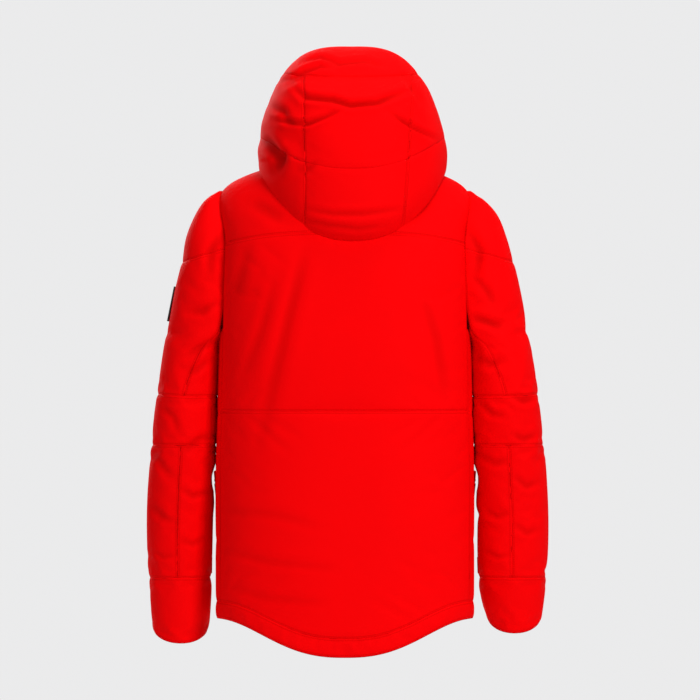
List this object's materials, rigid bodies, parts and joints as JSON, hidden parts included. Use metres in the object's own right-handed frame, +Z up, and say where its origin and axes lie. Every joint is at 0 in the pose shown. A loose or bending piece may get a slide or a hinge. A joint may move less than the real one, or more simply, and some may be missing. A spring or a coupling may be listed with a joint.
{
  "type": "ski jacket",
  "caption": "Padded hooded jacket with a full front zip, standing as worn, with a fold-back hood, bending sleeves, cuff tabs and zipped hand pockets.",
  "frame": {"origin": "middle of the hanger loop's bar, inside the back of the neck", "axes": "+Z up, +X towards the wearer's left, so the front of the jacket faces -Y"},
  "size_m": [0.6308, 0.3108, 0.9649],
  "materials": {
    "shell_fabric": "matt woven outer fabric, bright red",
    "lining_fabric": "smooth dark red lining",
    "knit_fabric": "stretch knit, near black",
    "zip_tape": "woven tape",
    "zip_teeth": "moulded teeth, near black",
    "slider_metal": "dark coated metal",
    "pull_rubber": "soft moulded pull and badge, grey brown"
  },
  "bodies": {
    "torso": {"hem_band": "shell_fabric", "back_lower": "shell_fabric", "back_upper": "shell_fabric", "back_yoke": "shell_fabric", "left_front": "shell_fabric", "left_front_yoke": "shell_fabric", "left_side_panel": "shell_fabric", "left_pocket_bag": "lining_fabric", "right_front": "shell_fabric", "right_front_yoke": "shell_fabric", "right_side_panel": "shell_fabric", "right_pocket_bag": "lining_fabric", "collar": "shell_fabric", "body_lining": "lining_fabric", "hanger_loop": "zip_tape", "powder_skirt": "knit_fabric", "front_zip_teeth": "zip_teeth", "front_zip_box": "zip_teeth", "left_zip_tape": "zip_tape", "right_zip_tape": "zip_tape", "wind_flap": "shell_fabric", "left_pocket_welt": "shell_fabric", "left_pocket_zip": "zip_teeth", "right_pocket_welt": "shell_fabric", "right_pocket_zip": "zip_teeth", "left_sleeve_head": "shell_fabric", "right_sleeve_head": "shell_fabric", "hood_roll": "shell_fabric"},
    "front_slider": {"front_zip_slider": "slider_metal"},
    "front_pull": {"front_zip_pull": "pull_rubber"},
    "hood": {"hood_centre": "shell_fabric", "hood_left": "shell_fabric", "hood_right": "shell_fabric", "hood_crown": "shell_fabric", "hood_lining": "lining_fabric"},
    "left_upper_arm": {"left_upper_sleeve": "shell_fabric", "left_upper_sleeve_under": "shell_fabric", "left_elbow_panel": "shell_fabric", "left_sleeve_badge": "pull_rubber"},
    "left_forearm": {"left_forearm": "shell_fabric", "left_forearm_under": "shell_fabric", "left_cuff": "shell_fabric", "left_wrist_gaiter": "knit_fabric"},
    "left_tab": {"left_cuff_tab": "shell_fabric"},
    "left_pocket_runner": {"left_pocket_slider": "slider_metal"},
    "left_pocket_tag": {"left_pocket_pull": "pull_rubber"},
    "right_upper_arm": {"right_upper_sleeve": "shell_fabric", "right_upper_sleeve_under": "shell_fabric", "right_elbow_panel": "shell_fabric"},
    "right_forearm": {"right_forearm": "shell_fabric", "right_forearm_under": "shell_fabric", "right_cuff": "shell_fabric", "right_wrist_gaiter": "knit_fabric"},
    "right_tab": {"right_cuff_tab": "shell_fabric"},
    "right_pocket_runner": {"right_pocket_slider": "slider_metal"},
    "right_pocket_tag": {"right_pocket_pull": "pull_rubber"}
  },
  "joints": [
    {"name": "front_zip", "type": "slide", "parent": "torso", "child": "front_slider", "axis": [0, -0.0589, -0.9983], "range_m": [0, 0.744]},
    {"name": "front_pull_swing", "type": "hinge", "parent": "front_slider", "child": "front_pull", "pos_m": [0, -0.15569, 0.02055], "axis": [-1, 0, 0], "range_deg": [0, 150]},
    {"name": "hood_fold", "type": "hinge", "parent": "torso", "child": "hood", "pos_m": [0, 0.12, -0.029], "axis": [-1, 0, 0], "range_deg": [0, 175]},
    {"name": "left_shoulder", "type": "hinge", "parent": "torso", "child": "left_upper_arm", "pos_m": [0.23, -0.046, -0.164], "axis": [0, -1, 0], "range_deg": [0, 60], "deforming": ["left_sleeve_head"]},
    {"name": "left_elbow", "type": "hinge", "parent": "left_upper_arm", "child": "left_forearm", "pos_m": [0.254, -0.054, -0.421], "axis": [-1, 0, 0], "range_deg": [0, 55], "deforming": ["left_elbow_panel"]},
    {"name": "left_tab_peel", "type": "hinge", "parent": "left_forearm", "child": "left_tab", "pos_m": [0.2105, -0.0895, -0.6535], "axis": [0, -0.145, -0.9894], "range_deg": [0, 40]},
    {"name": "left_pocket_zip_run", "type": "slide", "parent": "torso", "child": "left_pocket_runner", "axis": [-0.0945, -0.1818, -0.9788], "range_m": [0, 0.132]},
    {"name": "left_pocket_pull_swing", "type": "hinge", "parent": "left_pocket_runner", "child": "left_pocket_tag", "pos_m": [0.20572, -0.10706, -0.51382], "axis": [-0.4591, -0.8644, 0.2049], "range_deg": [0, 120]},
    {"name": "right_shoulder", "type": "hinge", "parent": "torso", "child": "right_upper_arm", "pos_m": [-0.23, -0.046, -0.164], "axis": [0, 1, 0], "range_deg": [0, 60], "deforming": ["right_sleeve_head"]},
    {"name": "right_elbow", "type": "hinge", "parent": "right_upper_arm", "child": "right_forearm", "pos_m": [-0.254, -0.054, -0.421], "axis": [-1, 0, 0], "range_deg": [0, 55], "deforming": ["right_elbow_panel"]},
    {"name": "right_tab_peel", "type": "hinge", "parent": "right_forearm", "child": "right_tab", "pos_m": [-0.2105, -0.0895, -0.6535], "axis": [0, 0.145, 0.9894], "range_deg": [0, 40]},
    {"name": "right_pocket_zip_run", "type": "slide", "parent": "torso", "child": "right_pocket_runner", "axis": [0.0945, -0.1818, -0.9788], "range_m": [0, 0.132]},
    {"name": "right_pocket_pull_swing", "type": "hinge", "parent": "right_pocket_runner", "child": "right_pocket_tag", "pos_m": [-0.20572, -0.10706, -0.51382], "axis": [-0.4591, 0.8644, -0.2049], "range_deg": [0, 120]}
  ]
}
